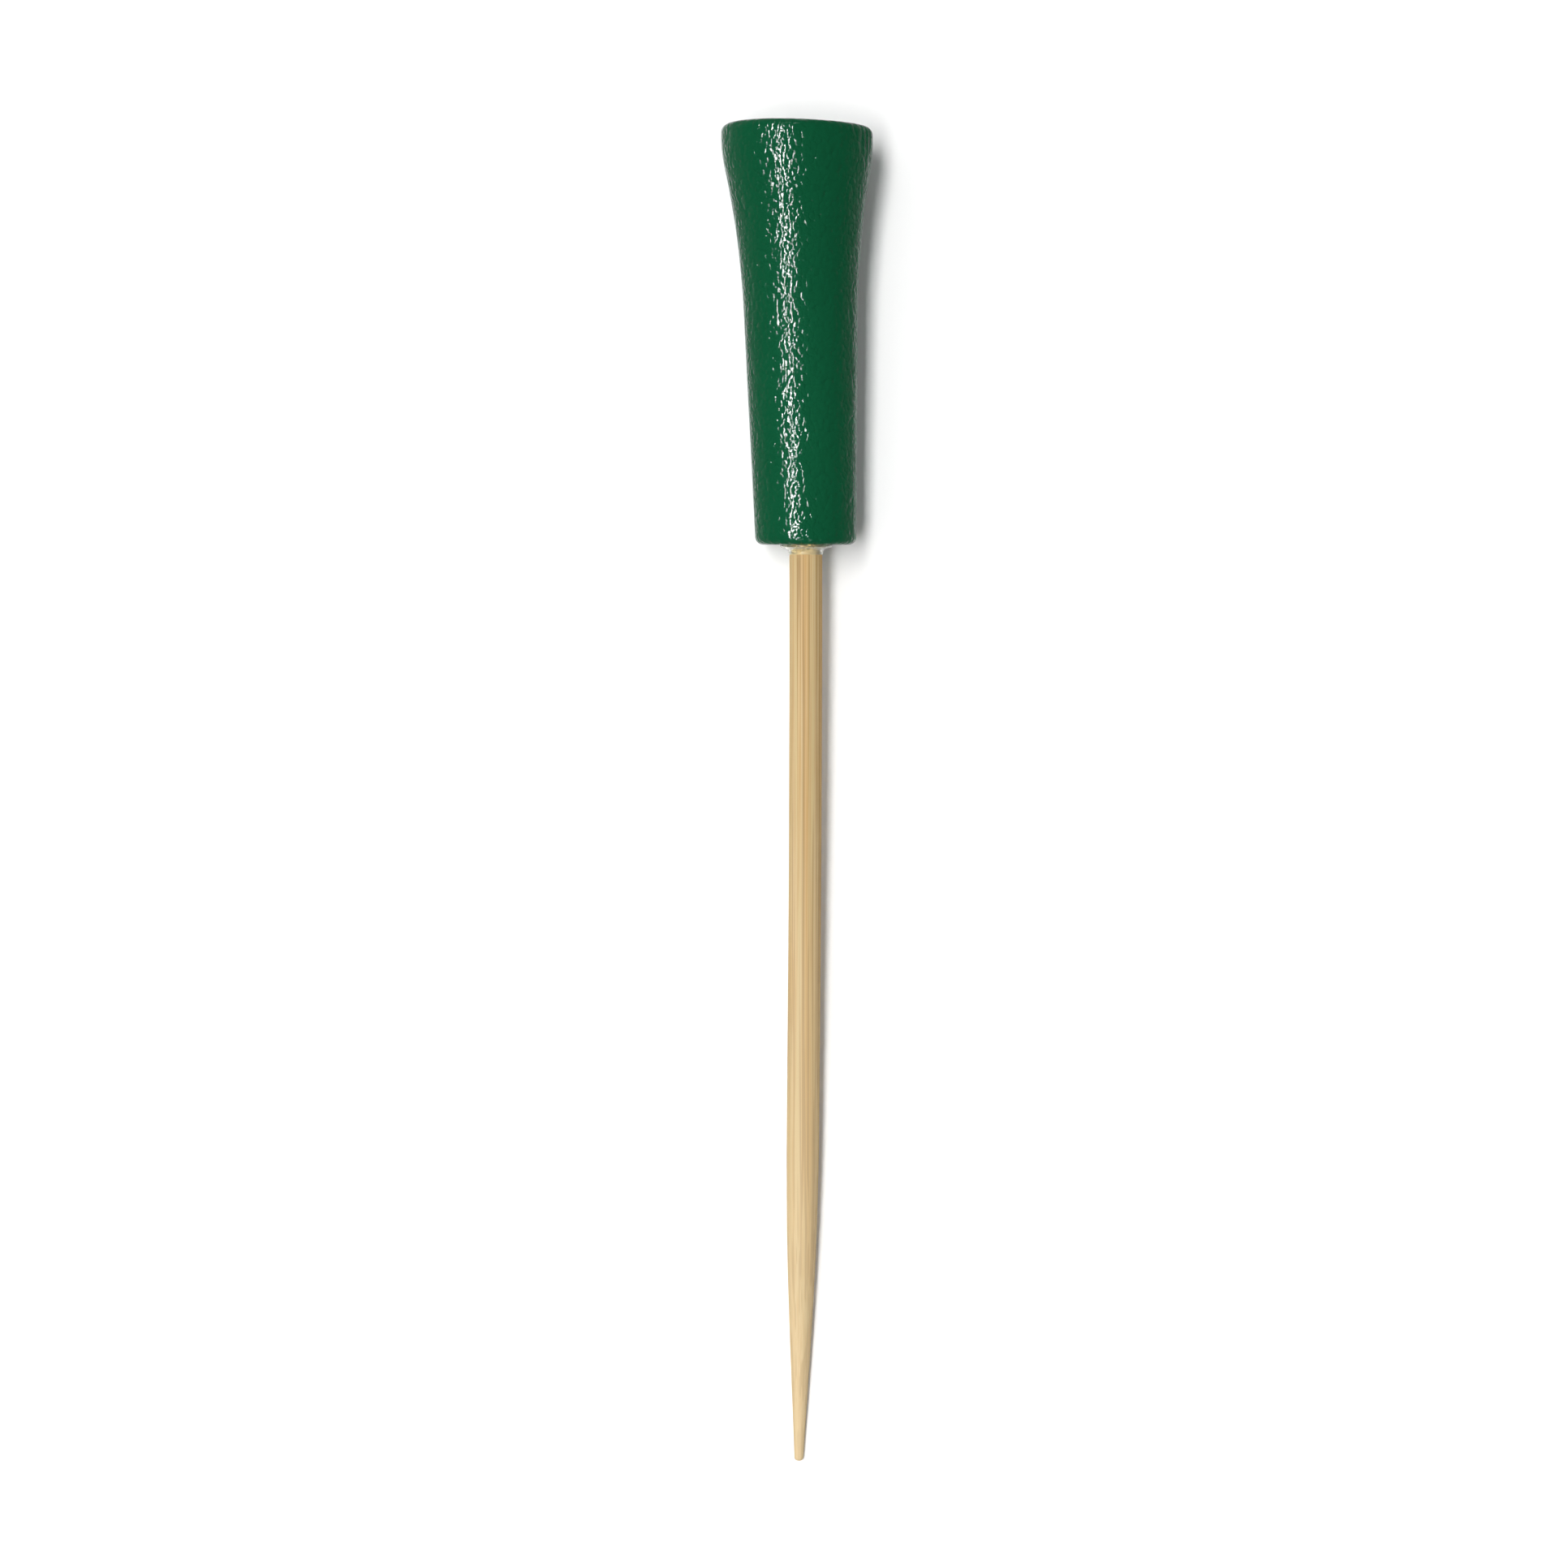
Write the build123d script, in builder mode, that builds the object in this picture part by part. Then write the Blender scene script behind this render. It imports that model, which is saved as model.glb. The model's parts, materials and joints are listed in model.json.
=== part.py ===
"""Golf-tee-shaped food pick: a lacquered, turned wooden head glued onto a tapered bamboo rod.

Units are millimetres and +Z is up. The pick lies at rest on the plane Z = 0, with its point
towards -Y, its head towards +Y and its axis in the plane X = 0. The origin is at the centre
of the bottom of the bounding box. All pieces are turned about the pick's axis, so each one
is a half section in (along, out): the distance from the point of the rod towards the top of
the head, and the distance from the axis.
"""

from build123d import *
from math import asin, atan, atan2, cos, hypot, radians, sin, tan
import os

# Overall lengths
pick_length = 120.0  # point of the rod to the top of the head
head_length = 37.3  # lower end of the head to its top

# Outside of the lacquered head
rim_diameter = 13.6  # widest ring, just below the top
waist_diameter = 10.3  # where the barrel ends and the flare begins
foot_diameter = 9.1  # lower end, at its corner
barrel_length = 20.8  # lower end to the waist, a slight straight taper
rim_drop = 1.3  # top face down to the widest ring
rim_radius = 14.0  # profile rounding from the flare out to the widest ring
lip_radius = 0.7  # profile rounding between rim and top face
foot_radius = 0.7  # profile rounding at the lower end
lip_width = 2.1  # widest ring in to the edge of the shallow cup in the top face
cup_depth = 1.5
cup_edge_radius = 0.5  # profile rounding between cup and top face
coat_thickness = 0.15  # lacquer all round the turned core

# Bamboo rod
rod_diameter = 3.0
taper_length = 24.0  # point to the full diameter
tip_diameter = 0.8  # blunt point
tip_radius = 0.3  # rounding of the blunt point
butt_ease = 0.1  # radial, taken off towards the end inside the head
butt_chamfer = 0.3

# Drilled hole and glue
hole_depth = 14.0  # full diameter, from the lower end of the head
drill_point_angle = 118.0  # cone at the bottom of the hole
glue_gap = 0.2  # radial, between the full rod and the hole
butt_gap = 0.5  # rod's end to the start of the drill point
collar_reach = 0.75  # glue collar out from the hole, across the lower end
collar_height = 0.9  # glue collar down along the rod
collar_hollow = 0.1  # how far the collar's face curves in from straight

same_spot = 1e-6  # corners closer than this are one

# Stations along the axis and radii that follow from them
foot_at = pick_length - head_length
waist_at = foot_at + barrel_length
rim_at = pick_length - rim_drop
rim_r = rim_diameter / 2
waist_r = waist_diameter / 2
foot_r = foot_diameter / 2
rod_r = rod_diameter / 2
tip_r = tip_diameter / 2
butt_r = rod_r - butt_ease
hole_r = rod_r + glue_gap
hole_end_at = foot_at + hole_depth
drill_point_at = hole_end_at + hole_r / tan(radians(drill_point_angle / 2))
butt_at = hole_end_at - butt_gap
collar_at = foot_at - collar_height
cup_end = (pick_length, rim_r - lip_width)

# Straight tapers of the barrel and of the rod's point
barrel_angle = atan((waist_r - foot_r) / barrel_length)
taper_angle = atan((rod_r - tip_r) / taper_length)
barrel_run = (cos(barrel_angle), sin(barrel_angle))

# The flare is an arc that leaves the barrel at the waist and meets the rim's rounding, both
# tangent. Its radius is what brings the two arcs' centres a sum of radii apart.
rim_centre = (rim_at, rim_r - rim_radius)
to_waist = (waist_at - rim_centre[0], waist_r - rim_centre[1])
waist_reach = to_waist[1] * barrel_run[0] - to_waist[0] * barrel_run[1]
flare_radius = (hypot(*to_waist) ** 2 - rim_radius**2) / (2 * (rim_radius - waist_reach))
flare_centre = (
    waist_at - flare_radius * barrel_run[1],
    waist_r + flare_radius * barrel_run[0],
)
rim_share = rim_radius / (flare_radius + rim_radius)
flare_end = (
    rim_centre[0] + rim_share * (flare_centre[0] - rim_centre[0]),
    rim_centre[1] + rim_share * (flare_centre[1] - rim_centre[1]),
)
flare_end_angle = atan2(rim_at - flare_end[0], flare_end[1] - rim_centre[1])


def corner_centre(at, out, radius, angle):
    """Centre of the rounding between a flat end at (at, out) and a taper that leaves it."""
    return (at + radius, out + radius * tan(angle) - radius / cos(angle))


# Round spots besides the head's wide end that can touch what the pick lies on
tip_centre = corner_centre(0, tip_r, tip_radius, taper_angle)
foot_centre = corner_centre(foot_at, foot_r, foot_radius, barrel_angle)
low_spots = (
    (*tip_centre, tip_radius),
    (taper_length, rod_r, 0),
    (*foot_centre, foot_radius),
    (waist_at, waist_r, 0),
)


def rest_angle(head_at, head_out, head_radius):
    """Angle of the line that touches this arc of the head and the first of the low spots."""
    angles = []
    for at, out, radius in low_spots:
        run = head_at - at
        rise = head_out - out
        lean = min(1, (head_radius - radius) / hypot(run, rise))  # 1 for a spot on the arc
        angles.append(atan2(rise, run) + asin(lean))
    return min(angles)


# The head rests on the rim's rounding, or on the flare if a wide waist makes that bulge
rest_arc = (*rim_centre, rim_radius)
if rest_angle(*rest_arc) > flare_end_angle:
    rest_arc = (*flare_centre, -flare_radius)
tilt = rest_angle(*rest_arc)


def corners_at(sketch, at, out):
    """The sketch's corners at (at, out), on both sides of the axis."""
    return sketch.vertices().filter_by(
        lambda corner: hypot(corner.X - at, abs(corner.Y) - out) < same_spot
    )


# Where the point of the axis lies, so that the head touches Z = 0 and Y is centred
lip_centre = (pick_length - lip_radius, rim_r - lip_radius)
head_end_y = lip_centre[0] * cos(tilt) + lip_centre[1] * sin(tilt) + lip_radius
point_end_y = tip_centre[0] * cos(tilt) - tip_centre[1] * sin(tilt) - tip_radius
point_y = -(head_end_y + point_end_y) / 2
point_z = rest_arc[2] + rest_arc[1] * cos(tilt) - rest_arc[0] * sin(tilt)

along = (0, cos(tilt), sin(tilt))
section = Plane(origin=(0, point_y, point_z), x_dir=along, z_dir=(1, 0, 0))
pick_axis = Axis(origin=(0, point_y, point_z), direction=along)

# Outline of the lacquered head, both sides of the axis, so that it can be offset inwards
with BuildSketch() as head_outline:
    with BuildLine():
        Line((foot_at, 0), (foot_at, foot_r))
        Line((foot_at, foot_r), (waist_at, waist_r))
        TangentArc((waist_at, waist_r), flare_end, tangent=barrel_run)
        TangentArc((rim_at, rim_r), flare_end, tangent=(-1, 0))
        Line((rim_at, rim_r), (pick_length, rim_r))
        Line((pick_length, rim_r), cup_end)
        TangentArc((pick_length - cup_depth, 0), cup_end, tangent=(0, 1))
        mirror(about=Plane.XZ)
    make_face()
    fillet(corners_at(head_outline, foot_at, foot_r), radius=foot_radius)
    fillet(corners_at(head_outline, pick_length, rim_r), radius=lip_radius)
    fillet(corners_at(head_outline, *cup_end), radius=cup_edge_radius)

# The same outline without the lacquer
with BuildSketch() as core_outline:
    add(head_outline.sketch)
    offset(amount=-coat_thickness, mode=Mode.REPLACE)

# Drilled hole with its cone, one side of the axis
with BuildSketch() as hole_outline:
    with BuildLine():
        Polyline(
            (foot_at, 0),
            (foot_at, hole_r),
            (hole_end_at, hole_r),
            (drill_point_at, 0),
            close=True,
        )
    make_face()

# Bamboo rod, one side of the axis
with BuildSketch() as rod_outline:
    with BuildLine():
        Polyline(
            (0, 0),
            (0, tip_r),
            (taper_length, rod_r),
            (collar_at, rod_r),
            (butt_at - butt_chamfer, butt_r),
            (butt_at, butt_r - butt_chamfer),
            (butt_at, 0),
            close=True,
        )
    make_face()
    blunt_corner = rod_outline.vertices().sort_by(Axis.X)[:2].sort_by(Axis.Y)[-1]
    fillet(blunt_corner, radius=tip_radius)

# Turned wooden core
with BuildPart() as head_core:
    with BuildSketch(section):
        add(core_outline.sketch)
        Rectangle(pick_length, rim_diameter, align=(Align.MIN, Align.MIN), mode=Mode.INTERSECT)
        add(hole_outline.sketch, mode=Mode.SUBTRACT)
    revolve(axis=pick_axis)
head_core.part.label = "head_core"

# Lacquer all over the core, open only at the mouth of the hole
with BuildPart() as lacquer_coat:
    with BuildSketch(section):
        add(head_outline.sketch)
        add(core_outline.sketch, mode=Mode.SUBTRACT)
        Rectangle(pick_length, rim_diameter, align=(Align.MIN, Align.MIN), mode=Mode.INTERSECT)
        add(hole_outline.sketch, mode=Mode.SUBTRACT)
    revolve(axis=pick_axis)
lacquer_coat.part.label = "lacquer_coat"

# Bamboo rod
with BuildPart() as bamboo_skewer:
    with BuildSketch(section):
        add(rod_outline.sketch)
    revolve(axis=pick_axis)
bamboo_skewer.part.label = "bamboo_skewer"

# Glue round the rod and in the drill point, with the collar that stands out of the hole
with BuildPart() as glue_bond:
    with BuildSketch(section):
        add(hole_outline.sketch)
        with BuildLine():
            collar_foot = (foot_at, hole_r + collar_reach)
            collar_end = (collar_at, rod_r)
            Line((foot_at, 0), collar_foot)
            SagittaArc(collar_foot, collar_end, collar_hollow)
            Line(collar_end, (collar_at, 0))
            Line((collar_at, 0), (foot_at, 0))
        make_face()
        add(rod_outline.sketch, mode=Mode.SUBTRACT)
    revolve(axis=pick_axis)
glue_bond.part.label = "glue_bond"

os.makedirs("parts", exist_ok=True)
for piece in (head_core, lacquer_coat, bamboo_skewer, glue_bond):
    export_step(piece.part, f"parts/{piece.part.label}.step")
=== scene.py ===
"""Golf-tee-shaped food pick: green lacquered wooden head glued onto a bamboo rod, lying at rest.

Lengths of the pick are millimetres until place() turns them into metres; materials, lights and
camera are in metres. "Along" is the distance from the point of the rod towards the top of the
head, "out" is the distance from the pick's axis, and "turn" is the angle round the axis from
the side that faces up.
"""

import json
import math

import bpy
import numpy as np
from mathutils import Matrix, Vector


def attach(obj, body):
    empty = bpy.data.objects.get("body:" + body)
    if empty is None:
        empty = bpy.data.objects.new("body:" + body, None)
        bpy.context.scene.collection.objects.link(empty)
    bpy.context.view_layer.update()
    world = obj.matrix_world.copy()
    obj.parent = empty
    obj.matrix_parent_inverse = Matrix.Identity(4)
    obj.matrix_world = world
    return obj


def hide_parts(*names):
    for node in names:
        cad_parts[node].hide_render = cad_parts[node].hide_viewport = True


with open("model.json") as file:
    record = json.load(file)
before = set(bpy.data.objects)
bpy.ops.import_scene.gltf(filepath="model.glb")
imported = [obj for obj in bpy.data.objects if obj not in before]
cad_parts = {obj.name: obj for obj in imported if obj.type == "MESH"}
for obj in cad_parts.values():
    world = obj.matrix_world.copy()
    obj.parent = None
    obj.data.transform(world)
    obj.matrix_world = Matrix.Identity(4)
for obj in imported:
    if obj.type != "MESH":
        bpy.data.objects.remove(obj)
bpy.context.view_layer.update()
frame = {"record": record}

MM = 0.001
HALF_TURN = math.pi
QUARTER_TURN = math.pi / 2

# Sizes of the part
pick_length = 120.0
foot_at = 82.7  # lower end of the head
foot_r = 4.55
foot_radius = 0.7
waist_at = 103.5
waist_r = 5.15
rim_at = 118.7
rim_r = 6.8
rim_radius = 14.0
lip_radius = 0.7
cup_r = 4.7
cup_depth = 1.5
cup_edge_radius = 0.5
coat_thickness = 0.15
rod_r = 1.5
taper_length = 24.0
tip_r = 0.4
tip_radius = 0.3
hole_r = 1.7
hole_end_at = 96.7
drill_point_at = 97.72
butt_at = 96.2
butt_r = 1.4
butt_chamfer = 0.3
collar_at = 81.8
collar_r = 2.45

# The pick's axis, from the bare stretch of rod that the record gives as a mount
shank = frame["record"]["mounts"][0]
axis = -np.array(shank["axis"], float)
axis /= np.linalg.norm(axis)
side = np.array((1.0, 0.0, 0.0))
up = np.cross(side, axis)
tilt = math.atan2(axis[2], axis[1])
point = np.array(shank["pos_m"]) / MM - axis * (taper_length + shank["dims"]["length_mm"] / 2)

bow_at_foot = 0.80  # how far the axis strays sideways where rod and head meet
bow_at_point = 0.18  # and at the point of the rod


def bow(along):
    """Sideways offset of the axis. The rod bows and the head leans back to the middle."""
    rod = bow_at_point + (bow_at_foot - bow_at_point) * (1 - (1 - along / foot_at) ** 2)
    head = bow_at_foot * np.clip((rim_at - along) / (rim_at - foot_at), 0, 1)
    return np.where(along < foot_at, rod, head)


def place(along, out, turn):
    """Points in metres, from arrays of the same shape."""
    across = out * np.sin(turn) + bow(along)
    above = out * np.cos(turn)
    return MM * (point + along[..., None] * axis + across[..., None] * side + above[..., None] * up)


# ---------------------------------------------------------------- outlines


def arc(centre, radius, start, end, steps=24):
    """Points of an arc from (along, out); angles go from outwards to towards the head's top."""
    angle = np.linspace(start, end, steps)
    return np.c_[centre[0] + radius * np.sin(angle), centre[1] + radius * np.cos(angle)]


def joined(*runs):
    """Several runs of points as one, without the doubled point where two meet."""
    return np.vstack([runs[0]] + [np.asarray(run)[1:] for run in runs[1:]])


def evened(points, spacing):
    """Evenly spaced points along a polyline, both ends kept."""
    points = np.asarray(points, float)
    run = np.r_[0, np.cumsum(np.hypot(*np.diff(points, axis=0).T))]
    at = np.linspace(0, run[-1], max(2, round(run[-1] / spacing) + 1))
    return np.c_[np.interp(at, run, points[:, 0]), np.interp(at, run, points[:, 1])]


def normals(points):
    """Unit normals of an outline that runs towards the head's top, pointing out."""
    run = np.gradient(points, axis=0)
    run /= np.hypot(*run.T)[:, None]
    return np.c_[-run[:, 1], run[:, 0]]


# The flare's arc leaves the barrel at the waist and meets the rim's rounding, both tangent
barrel_angle = math.atan((waist_r - foot_r) / (waist_at - foot_at))
rim_centre = (rim_at, rim_r - rim_radius)
to_waist = (waist_at - rim_centre[0], waist_r - rim_centre[1])
waist_reach = to_waist[1] * math.cos(barrel_angle) - to_waist[0] * math.sin(barrel_angle)
flare_radius = (math.hypot(*to_waist) ** 2 - rim_radius**2) / (2 * (rim_radius - waist_reach))
flare_centre = (
    waist_at - flare_radius * math.sin(barrel_angle),
    waist_r + flare_radius * math.cos(barrel_angle),
)
flare_angle = math.atan2(rim_at - flare_centre[0], flare_centre[1] - rim_centre[1])

# The cup is a shallow round dish whose edge is rounded
cup_arc_radius = (cup_r**2 + cup_depth**2) / (2 * cup_depth)
cup_centre = (pick_length - cup_depth + cup_arc_radius, 0)
edge_along = pick_length - cup_edge_radius
edge_out = math.sqrt((cup_arc_radius + cup_edge_radius) ** 2 - (cup_centre[0] - edge_along) ** 2)
edge_angle = math.atan2(cup_centre[0] - edge_along, edge_out)

foot_centre = (
    foot_at + foot_radius,
    foot_r + foot_radius * (math.tan(barrel_angle) - 1 / math.cos(barrel_angle)),
)
lip_centre = (pick_length - lip_radius, rim_r - lip_radius)

foot_run = joined(
    [(foot_at, hole_r), (foot_at, foot_centre[1])],
    arc(foot_centre, foot_radius, -QUARTER_TURN, -barrel_angle),
)
side_run = joined(
    [foot_run[-1], (waist_at, waist_r)],
    arc(flare_centre, flare_radius, HALF_TURN - barrel_angle, HALF_TURN - flare_angle, 80),
    arc(rim_centre, rim_radius, -flare_angle, 0),
    [(rim_at, rim_r), (lip_centre[0], rim_r)],
    arc(lip_centre, lip_radius, 0, QUARTER_TURN),
)
top_run = joined(
    [side_run[-1], (pick_length, edge_out)],
    arc((edge_along, edge_out), cup_edge_radius, QUARTER_TURN, HALF_TURN - edge_angle),
    arc(cup_centre, cup_arc_radius, -edge_angle, -QUARTER_TURN, 40),
)


# ---------------------------------------------------------------- meshes

on_axis = 1e-6  # an outline's end that is closer to the axis than this lies on it


def waves(seed, rows, columns):
    """Smooth random heights from -1 to 1 on a sheet wrapped round the axis.

    Returns a function of (share of the way along, turn); the sheet closes round the turn.
    """
    grid = np.random.default_rng(seed).uniform(-1, 1, (rows + 3, columns))

    def weights(f):
        return (
            (1 - f) ** 3 / 6,
            (3 * f**3 - 6 * f**2 + 4) / 6,
            (-3 * f**3 + 3 * f**2 + 3 * f + 1) / 6,
            f**3 / 6,
        )

    def height(share, turn):
        a = np.clip(share, 0, 1) * (rows - 1e-6)
        b = (turn / (2 * HALF_TURN)) % 1 * columns
        row, column = a.astype(int), b.astype(int)
        total = 0
        for i, wa in enumerate(weights(a - row)):
            for j, wb in enumerate(weights(b - column)):
                total = total + wa * wb * grid[row + i, (column + j) % columns]
        return total

    return height


def turned(name, outline, segments, shift):
    """Closed mesh turned about the pick's axis from an outline of (along, out) points.

    An end that lies on the axis becomes one point; otherwise the outline closes on itself.
    shift(along, out, turn) gives new along and out arrays for the vertices.
    """
    outline = np.asarray(outline, float)
    start_pole, end_pole = (int(outline[end][1] < on_axis) for end in (0, -1))
    rings = outline[start_pole : len(outline) - end_pole]
    turn = np.linspace(0, 2 * HALF_TURN, segments, endpoint=False)
    along, turns = np.meshgrid(rings[:, 0], turn, indexing="ij")
    out = np.repeat(rings[:, 1:2], segments, axis=1)
    along, out = shift(along, out, turns)
    vertices = place(along, out, turns).reshape(-1, 3)
    count = len(rings)
    rows = np.arange(count - 1 if start_pole or end_pole else count)
    here = rows[:, None] * segments
    there = (rows[:, None] + 1) % count * segments
    column = np.arange(segments)
    after = (column + 1) % segments
    quads = np.stack([here + column, here + after, there + after, there + column], -1)
    quads = quads.reshape(-1, 4)
    faces = quads.tolist()
    for pole, ring, flip in ((start_pole, 0, False), (end_pole, count - 1, True)):
        if pole:
            end = outline[-1] if flip else outline[0]
            vertices = np.vstack([vertices, place(end[:1], end[1:], np.zeros(1))])
            tip = len(vertices) - 1
            first, second = ring * segments + column, ring * segments + after
            if flip:
                first, second = second, first
            faces += [(tip, int(b), int(a)) for a, b in zip(first, second)]
    mesh = bpy.data.meshes.new(name)
    mesh.from_pydata(vertices.tolist(), [], faces)
    corners = vertices[quads]
    spans = np.cross(corners[:, 2] - corners[:, 0], corners[:, 3] - corners[:, 1])
    if (spans * corners.mean(axis=1)).sum() < 0:
        mesh.flip_normals()
    mesh.shade_smooth()
    mesh.update()
    piece = bpy.data.objects.new(name, mesh)
    bpy.context.scene.collection.objects.link(piece)
    return piece


# Lacquered head, a coat with an inside skin. Only the outside is fine enough for its marks.
outer = joined(evened(foot_run, 0.16), evened(side_run, 0.14), evened(top_run, 0.3))
coarse = joined(evened(foot_run, 0.3), evened(side_run, 1.2), evened(top_run, 0.6))
inner = coarse - coat_thickness * normals(coarse)
inner[0] = (foot_at + coat_thickness, hole_r)
inner[-1] = (pick_length - cup_depth - coat_thickness, 0)

# Marks of the lathe and of the dip, each with its greatest depth below the outline
swell, swell_depth = waves(3, 9, 7), 0.035
ripple, ripple_depth = waves(5, 46, 34), 0.020
grain, grain_depth = waves(7, 24, 150), 0.030  # fine lines along the rim
head_margin = 0.02  # what the whole head lies below the outline
rim_marks_from, rim_marks_fade = 2.5, 2.0  # start below the widest ring, length to full depth
scuff_depth = 0.120  # coarse tool marks, on a patch of the rim
scuffs_per_turn = 45
scuff_turn, scuff_spread = 1.2, 0.3  # middle and width of the patch
smooth_r, smooth_fade = 2.6, 0.8  # no marks within this radius, by the hole and in the cup

# The top face isn't square: how far it lies below the outline, on average and round the turn
top_drop, top_lean, top_wave = 0.15, 0.13, 0.04
top_blend = 3.0  # how far below the widest ring that starts


def scuffed(turn):
    """1 on the patch of the rim that has coarse tool marks, fading to 0 around it."""
    return np.exp(-(((turn - scuff_turn) / scuff_spread) ** 2))


def head_shift(along, out, turn):
    """Hand-turned and dipped: slightly uneven, rippled, and ridged along the grain at the rim."""
    share = (along - foot_at) / (pick_length - foot_at)
    near_rim = np.clip((along - rim_at + rim_marks_from) / rim_marks_fade, 0, 1)
    scuffs = scuffed(turn) * (1 + np.sin(scuffs_per_turn * turn)) / 2
    depth = (
        head_margin
        + swell_depth * (1 + swell(share, turn)) / 2
        + ripple_depth * (1 + ripple(share, turn)) / 2
        + grain_depth * near_rim * (1 + grain(share, turn)) / 2
        + scuff_depth * near_rim * scuffs
    )
    depth *= np.clip((out - smooth_r) / smooth_fade, 0, 1)
    top = np.clip((along - rim_at + top_blend) / top_blend, 0, 1) * np.clip(out / rim_r, 0, 1)
    uneven = (top_drop + top_lean * np.sin(turn) + top_wave * np.sin(2 * turn)) * top
    return along - uneven, out - depth


head = turned("lacquered_head", np.vstack([outer[::-1], inner]), 256, head_shift)

# Turned wooden core inside it, with the drilled hole
hole_run = [(hole_end_at, hole_r), (drill_point_at, 0)]
core = turned("turned_core", np.vstack([inner[::-1], hole_run]), 96, head_shift)

# Bamboo rod
taper_angle = math.atan((rod_r - tip_r) / taper_length)
tip_centre = (tip_radius, tip_r + tip_radius * (math.tan(taper_angle) - 1 / math.cos(taper_angle)))
tip_run = joined(
    [(0, 0), (0, tip_centre[1])],
    arc(tip_centre, tip_radius, -QUARTER_TURN, -taper_angle, 12),
)
rod_run = joined(
    tip_run,
    evened([tip_run[-1], (taper_length, rod_r), (collar_at, rod_r)], 0.35),
    evened([(collar_at, rod_r), (butt_at - butt_chamfer, butt_r)], 3.0),
    [(butt_at - butt_chamfer, butt_r), (butt_at, butt_r - butt_chamfer), (butt_at, 0)],
)
# Unevenness of the rod, each with its greatest depth below the outline
rod_swell, rod_swell_depth = waves(13, 16, 5), 0.030
ridges, ridge_depth = waves(17, 14, 46), 0.030
fibres, fibre_depth = waves(19, 30, 80), 0.012
taper_fullness = 0.075  # how far the taper bulges out from straight
taper_skew = 1.3  # above 1, it is fullest past its middle, towards the rod
shoulder_loss, shoulder_length = 0.05, 2.5  # eases the corner where the taper starts


def rod_shift(along, out, turn):
    """The taper is slightly full and starts softly; the surface has long fine ridges."""
    way = np.clip(along / taper_length, 0, 1) ** taper_skew
    full = taper_fullness * np.sin(HALF_TURN * way)
    full -= shoulder_loss * np.exp(-(((along - taper_length) / shoulder_length) ** 2))
    share = along / butt_at
    depth = (
        rod_swell_depth * (1 + rod_swell(share, turn)) / 2
        + ridge_depth * (1 + ridges(share, turn)) / 2
        + fibre_depth * (1 + fibres(share, turn)) / 2
    )
    return along, out + full - depth * np.clip(out / rod_r, 0, 1)


rod = turned("bamboo_rod", rod_run, 160, rod_shift)

# Glue: a collar on the lower end of the head, and what is inside the hole
sink = 0.03  # how far the glue reaches into the head and past the rod's end
embed = 0.07  # how far it reaches into the rod's side; both keep two surfaces from coinciding
embed_run = 0.05  # length over which it gets that deep at the collar's end
even_end = foot_at + 1  # from here it follows the rod's eased end
collar_rim = 0.15  # rounding round the collar's flat disc
cone_reach = 0.45  # the collar's cone, out from the rod where the disc ends
cone = np.linspace(0, 1, 9)
collar_face = joined(
    [(foot_at + sink, collar_r), (foot_at - collar_rim, collar_r)],
    arc((foot_at - collar_rim, collar_r - collar_rim), collar_rim, 0, -QUARTER_TURN, 8),
    np.c_[
        foot_at - 2 * collar_rim + (collar_at - foot_at + 2 * collar_rim) * cone,
        rod_r + cone_reach * (1 - cone) ** 2,
    ],
)
glue_run = joined(
    [(drill_point_at, 0), (hole_end_at, hole_r), (foot_at + sink, hole_r)],
    [(foot_at + sink, hole_r), (foot_at + sink, collar_r)],
    collar_face,
    [
        (collar_at, rod_r),
        (collar_at + embed_run, rod_r - embed),
        (even_end, rod_r - embed),
        (butt_at - butt_chamfer, butt_r - embed),
        (butt_at - sink, butt_r - butt_chamfer),
        (butt_at - sink, 0),
    ],
)
run_down = waves(23, 3, 5)
run_down_row = 0.4  # one row of those waves is used, so that they vary only round the turn
collar_loss = 0.35  # share of the collar that its leanest side could lack
loose_fade = 0.1  # length over which that starts, at the rod and at the head
rod_allowance = 0.02  # it starts this far below the rod's surface


def glue_shift(along, out, turn):
    """The collar is wider and longer on some sides than on others."""
    off_rod = np.clip((out - rod_r + rod_allowance) / loose_fade, 0, 1)
    off_head = np.clip((foot_at + loose_fade - along) / loose_fade, 0, 1)
    lean = (1 + run_down(np.full_like(along, run_down_row), turn)) / 2
    less = collar_loss * off_rod * off_head * lean
    return along + less * (foot_at - along), out - less * (out - rod_r)


glue = turned("glue_collar", glue_run, 96, glue_shift)

for piece, node, finish in (
    (head, "lacquer_coat", "lacquer"),
    (core, "head_core", "head_wood"),
    (rod, "bamboo_skewer", "bamboo"),
    (glue, "glue_bond", "glue"),
):
    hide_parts(node)
    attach(piece, "root")


# ---------------------------------------------------------------- materials


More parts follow.
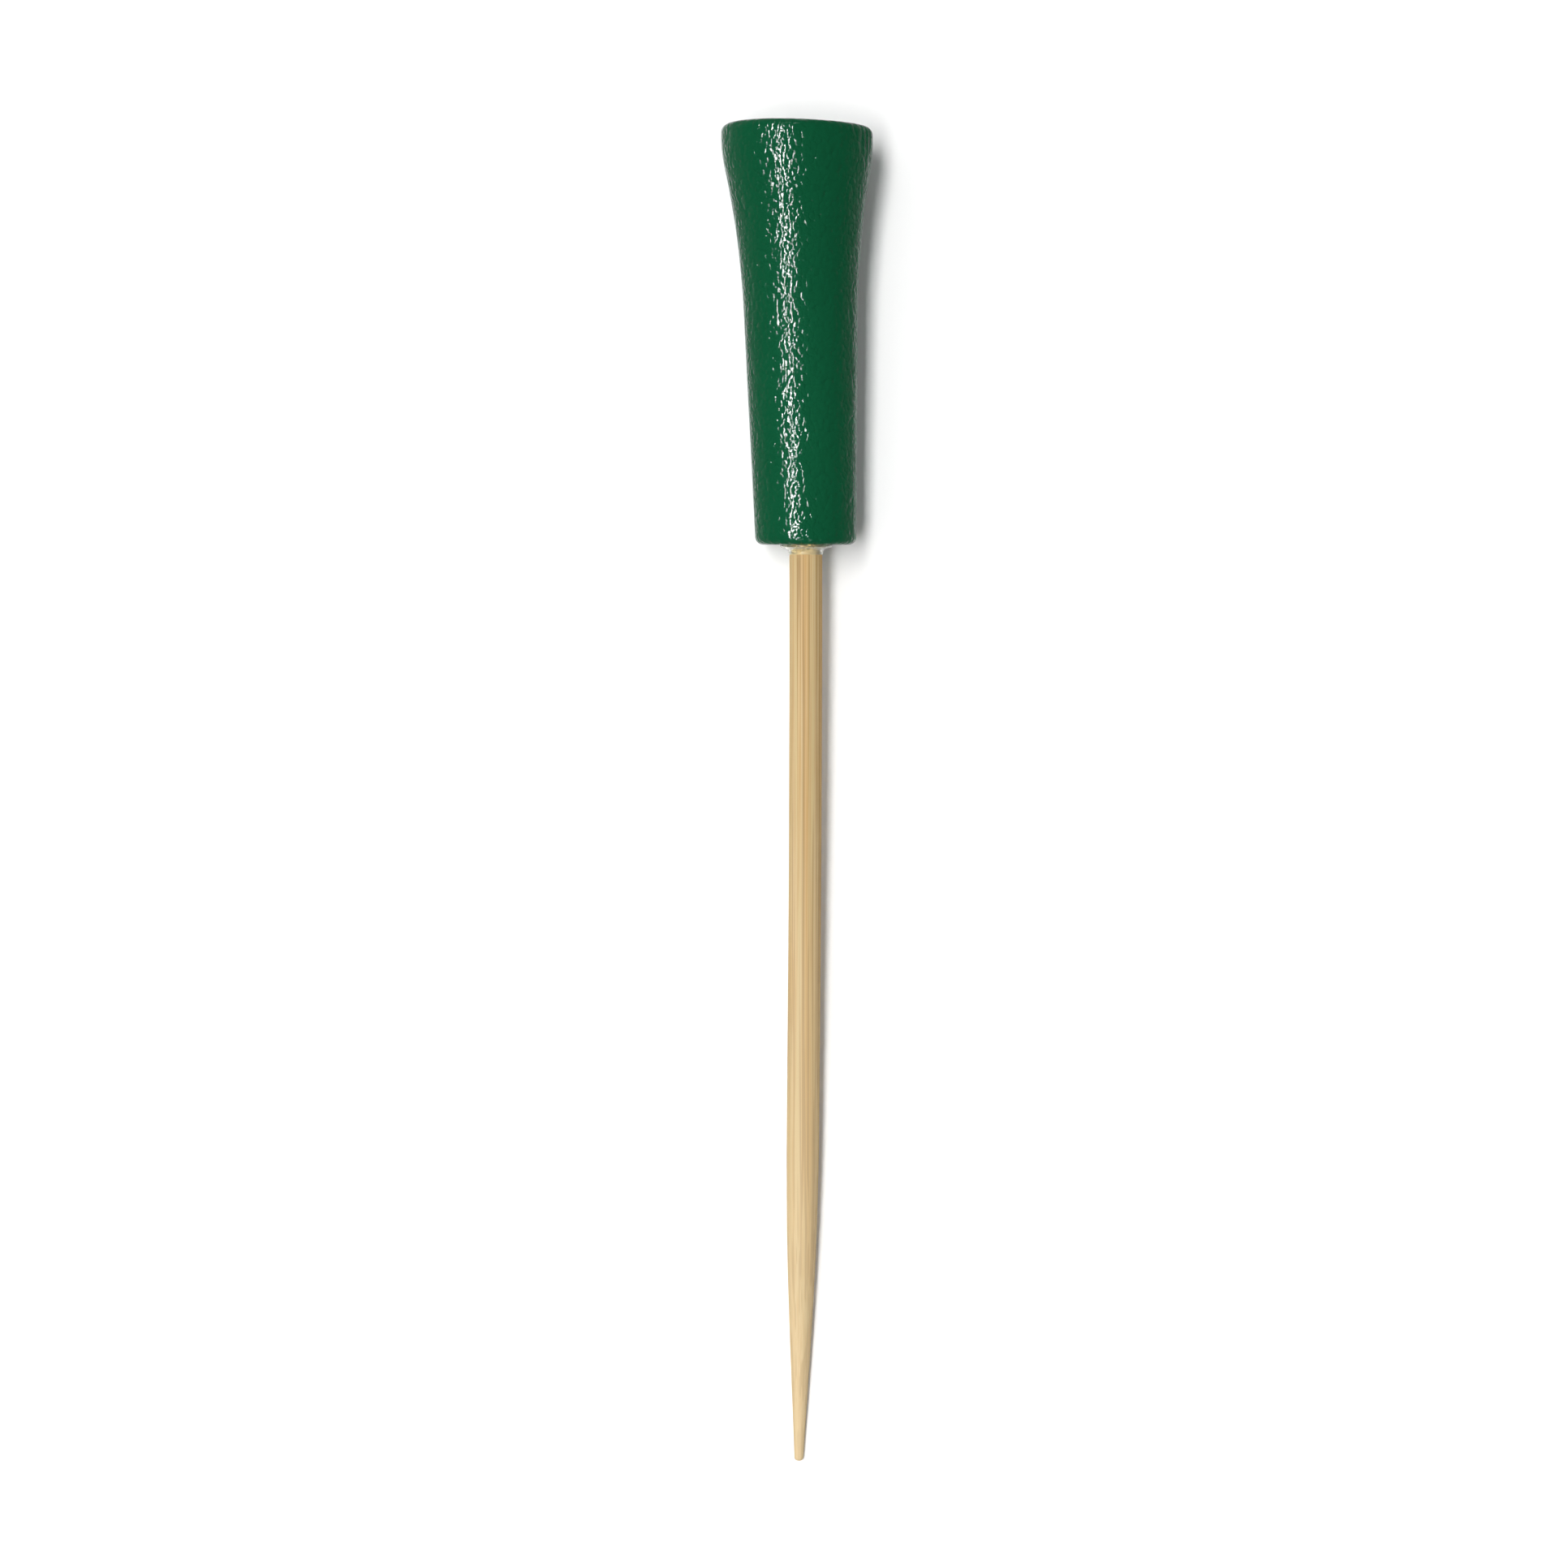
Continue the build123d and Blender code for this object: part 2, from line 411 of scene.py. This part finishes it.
class Shader:
    """A node tree with short calls for the nodes that the materials below share."""

    def __init__(self, name):
        self.material = bpy.data.materials.new(name)
        self.material.use_nodes = True
        self.tree = self.material.node_tree
        self.surface = self.tree.nodes["Principled BSDF"]
        level = self.tree.nodes.new("ShaderNodeMapping")
        level.inputs["Rotation"].default_value = (-tilt, 0, 0)
        self.tree.links.new(
            self.tree.nodes.new("ShaderNodeTexCoord").outputs["Object"], level.inputs["Vector"]
        )
        self.place = level.outputs["Vector"]  # metres, with Y along the pick's axis

    def node(self, kind, inputs=(), **settings):
        """New node, with values or other nodes' sockets for its inputs."""
        made = self.tree.nodes.new(kind)
        for key, value in settings.items():
            setattr(made, key, value)
        for key, value in dict(inputs).items():
            self.set(made.inputs[key], value)
        return made

    def set(self, socket, value):
        if isinstance(value, bpy.types.NodeSocket):
            self.tree.links.new(value, socket)
        else:
            socket.default_value = value

    def stretched(self, scale):
        """Object coordinates times scale, per metre, on each axis."""
        return self.node(
            "ShaderNodeVectorMath", {0: self.place, 1: scale}, operation="MULTIPLY"
        ).outputs[0]

    def noise(self, scale, detail=2.0, roughness=0.5, distortion=0.0):
        """Noise from 0 to 1 whose cells are about 1 / scale metres on each axis."""
        return self.node(
            "ShaderNodeTexNoise",
            {
                "Vector": self.stretched(scale),
                "Scale": 1.0,
                "Detail": detail,
                "Roughness": roughness,
                "Distortion": distortion,
            },
        ).outputs["Fac"]

    def combined(self, operation, a, b=0.0, clamp=False):
        """Result of a Math node on one or two values."""
        made = self.node("ShaderNodeMath", {0: a, 1: b}, operation=operation)
        made.use_clamp = clamp
        return made.outputs[0]

    def ramp(self, factor, *stops):
        """Colour ramp through (position, colour) stops; a colour is a grey or (r, g, b)."""
        made = self.node("ShaderNodeValToRGB", {"Fac": factor})
        elements = made.color_ramp.elements
        while len(elements) < len(stops):
            elements.new(0.5)
        for element, (position, colour) in zip(elements, stops):
            element.position = position
            rgb = (colour,) * 3 if isinstance(colour, (int, float)) else colour
            element.color = (*rgb, 1.0)
        return made.outputs["Color"]

    def mix(self, factor, a, b):
        """Colour a, with b over it by the factor."""
        made = self.node("ShaderNodeMix", data_type="RGBA")
        self.set(made.inputs["Factor"], factor)
        self.set(made.inputs["A"], a)
        self.set(made.inputs["B"], b)
        return made.outputs["Result"]

    def bump(self, height, distance, below=None):
        """Bump of a height from 0 to 1 over a distance in metres, on top of another one."""
        inputs = {"Strength": 1.0, "Distance": distance, "Height": height}
        if below:
            inputs["Normal"] = below
        return self.node("ShaderNodeBump", inputs).outputs["Normal"]

    def finish(self, **sockets):
        """Sets the surface's sockets, named with _ for each space, and returns the material."""
        for key, value in sockets.items():
            self.set(self.surface.inputs[key.replace("_", " ")], value)
        return self.material


def lacquer_material():
    m = Shader("green_lacquer")
    cloud = m.noise((90, 40, 90), 3)
    streak = m.noise((1400, 60, 1400), 2)
    colour = m.mix(
        m.combined("MULTIPLY", streak, 0.35),
        m.ramp(cloud, (0.3, (0.0026, 0.060, 0.0235)), (0.7, (0.0036, 0.072, 0.029))),
        (0.0022, 0.054, 0.021, 1),
    )
    cells = m.node(
        "ShaderNodeTexVoronoi", {"Vector": m.stretched((2500, 2200, 2500)), "Scale": 1.0}
    ).outputs["Distance"]
    # Ripple from 1.4 mm down to 0.2 mm across, and small craters, so that gloss breaks into flecks
    relief = m.bump(m.noise((700, 500, 700), 2), 0.00005)
    relief = m.bump(m.noise((1700, 1500, 1700), 1), 0.00009, relief)
    relief = m.bump(m.noise((5000, 4600, 5000), 1), 0.000006, relief)
    relief = m.bump(m.combined("POWER", cells, 3), -0.00007, relief)
    return m.finish(
        Base_Color=colour,
        Roughness=m.ramp(cloud, (0.3, 0.03), (0.7, 0.05)),
        Normal=relief,
        IOR=1.1,
    )


def bamboo_material():
    m = Shader("bamboo")
    wide = m.noise((800, 10, 800), 2)
    fibre = m.noise((7500, 50, 7500), 2, 0.6)
    dark = m.noise((4200, 16, 4200), 1.5, 0.5)
    along = m.noise((60, 90, 60), 2)
    colour = m.ramp(
        wide,
        (0.35, (0.515, 0.335, 0.14)),
        (0.5, (0.50, 0.385, 0.195)),
        (0.65, (0.56, 0.41, 0.235)),
    )
    colour = m.mix(m.ramp(fibre, (0.40, 0.65), (0.54, 0.0)), colour, (0.43, 0.25, 0.085, 1))
    colour = m.mix(m.ramp(dark, (0.55, 0.0), (0.61, 0.7)), colour, (0.27, 0.15, 0.05, 1))
    colour = m.mix(m.combined("MULTIPLY", along, 0.25), colour, (0.54, 0.43, 0.26, 1))
    # Painted light: the rod is painted paler towards its point, in place of the shade that the head
    # casts on the rod near the head.
    y = m.node("ShaderNodeSeparateXYZ", {0: m.place}).outputs["Y"]
    to_point = m.combined("MULTIPLY", y, -11)
    painted_tip_light = m.combined("MAXIMUM", to_point, 0.0, clamp=True)
    colour = m.mix(painted_tip_light, colour, (0.68, 0.53, 0.32, 1))
    return m.finish(
        Base_Color=colour,
        Roughness=m.ramp(fibre, (0.3, 0.62), (0.7, 0.5)),
        Normal=m.bump(fibre, 0.000016),
        Specular_IOR_Level=0.015,
    )


def glue_material():
    m = Shader("clear_glue")
    cloud = m.noise((900, 900, 900), 2)
    return m.finish(
        Base_Color=m.ramp(cloud, (0.3, (0.28, 0.29, 0.21)), (0.7, (0.40, 0.40, 0.31))),
        Roughness=m.ramp(cloud, (0.3, 0.2), (0.7, 0.35)),
        Transmission_Weight=0.6,
        IOR=1.12,
        Specular_IOR_Level=0.05,
        Normal=m.bump(cloud, 0.00003),
    )


def wood_material():
    m = Shader("turned_hardwood")
    rings = m.noise((500, 20, 500), 3)
    pores = m.noise((3000, 80, 3000), 2)
    colour = m.ramp(rings, (0.3, (0.62, 0.45, 0.27)), (0.7, (0.78, 0.62, 0.42)))
    colour = m.mix(m.ramp(pores, (0.6, 0.0), (0.7, 0.6)), colour, (0.42, 0.28, 0.15, 1))
    return m.finish(Base_Color=colour, Roughness=0.75, Normal=m.bump(pores, 0.00003))


def floor_material():
    m = Shader("white_table")
    cloud = m.noise((3, 3, 3), 2)
    return m.finish(
        Base_Color=m.ramp(cloud, (0.3, (0.88, 0.88, 0.88)), (0.7, (0.9, 0.9, 0.9))),
        Roughness=1.0,
        Specular_IOR_Level=0.0,
    )


for piece, material in (
    (head, lacquer_material()),
    (core, wood_material()),
    (rod, bamboo_material()),
    (glue, glue_material()),
):
    piece.data.materials.append(material)


# ---------------------------------------------------------------- stage, lights and camera

floor_radius = 1.5
floor_turn = np.linspace(0, 2 * HALF_TURN, 96, endpoint=False)
floor_mesh = bpy.data.meshes.new("table_top")
floor_mesh.from_pydata(
    [(floor_radius * math.cos(t), floor_radius * math.sin(t), 0) for t in floor_turn],
    [],
    [tuple(range(len(floor_turn)))],
)
floor_mesh.materials.append(floor_material())
floor = bpy.data.objects.new("table_top", floor_mesh)
bpy.context.scene.collection.objects.link(floor)

target = Vector((0, 0.02, 0))  # what the lights look at, by the head's lower end


def panel(name, left, back, distance, size, watts, diffuse=True, glossy=True):
    """Rectangular light that looks at the pick.

    left and back are the degrees it leans from straight overhead, to the left and towards the
    head's end. size is its width across the pick and its length along it.
    """
    data = bpy.data.lights.new(name, "AREA")
    data.shape = "RECTANGLE"
    data.size, data.size_y = size
    data.energy = watts
    lamp = bpy.data.objects.new(name, data)
    bpy.context.scene.collection.objects.link(lamp)
    a, b = math.radians(left), math.radians(back)
    away = Vector((-math.sin(a) * math.cos(b), math.sin(b), math.cos(a) * math.cos(b)))
    lamp.location = target + away * distance
    lamp.rotation_euler = (-b, -a, 0)
    lamp.visible_camera = False
    lamp.visible_diffuse = diffuse
    lamp.visible_glossy = glossy


panel("soft_key", 12, 0, 2.4, (0.45, 1.8), 52, glossy=False)
panel("window", 38, 0, 2.7, (2.1, 2.7), 20.7, glossy=False)
panel("strip", 27, -4.3, 2.4, (0.24, 2.1), 1080, diffuse=False)
panel("far_end", 15, 50, 2.4, (1.0, 0.5), 80, diffuse=False)
panel("near_end", 15, -50, 2.4, (1.0, 0.5), 80, diffuse=False)

# White surroundings, with a strength of their own as fill light, in gloss and as a backdrop
fill_level, mirrored_level, seen_level = 0.32, 0.4, 1.0
world = bpy.data.worlds.new("studio")
world.use_nodes = True
tree = world.node_tree
sky = tree.nodes["Background"]
paths = tree.nodes.new("ShaderNodeLightPath")
levels = tree.nodes.new("ShaderNodeMix")
levels.inputs["A"].default_value = fill_level
levels.inputs["B"].default_value = mirrored_level
tree.links.new(paths.outputs["Is Glossy Ray"], levels.inputs["Factor"])
shown = tree.nodes.new("ShaderNodeMix")
shown.inputs["B"].default_value = seen_level
tree.links.new(paths.outputs["Is Camera Ray"], shown.inputs["Factor"])
tree.links.new(levels.outputs["Result"], shown.inputs["A"])
tree.links.new(shown.outputs["Result"], sky.inputs["Strength"])
sky.inputs["Color"].default_value = (1, 1, 1, 1)
bpy.context.scene.world = world

view_settings = bpy.context.scene.view_settings
view_settings.view_transform = "Standard"
view_settings.look = "None"

# Straight down onto the pick's middle
camera_x, camera_y, camera_height = -0.00116, 0.00112, 0.368
frame_width = 0.14203  # what the picture's side covers on the table
camera_data = bpy.data.cameras.new("overhead")
camera_data.sensor_width = 36.0
camera_data.lens = camera_data.sensor_width * camera_height / frame_width
camera_data.clip_start, camera_data.clip_end = 0.01, 10.0
camera = bpy.data.objects.new("overhead", camera_data)
camera.location = (camera_x, camera_y, camera_height)
bpy.context.scene.collection.objects.link(camera)
bpy.context.scene.camera = camera
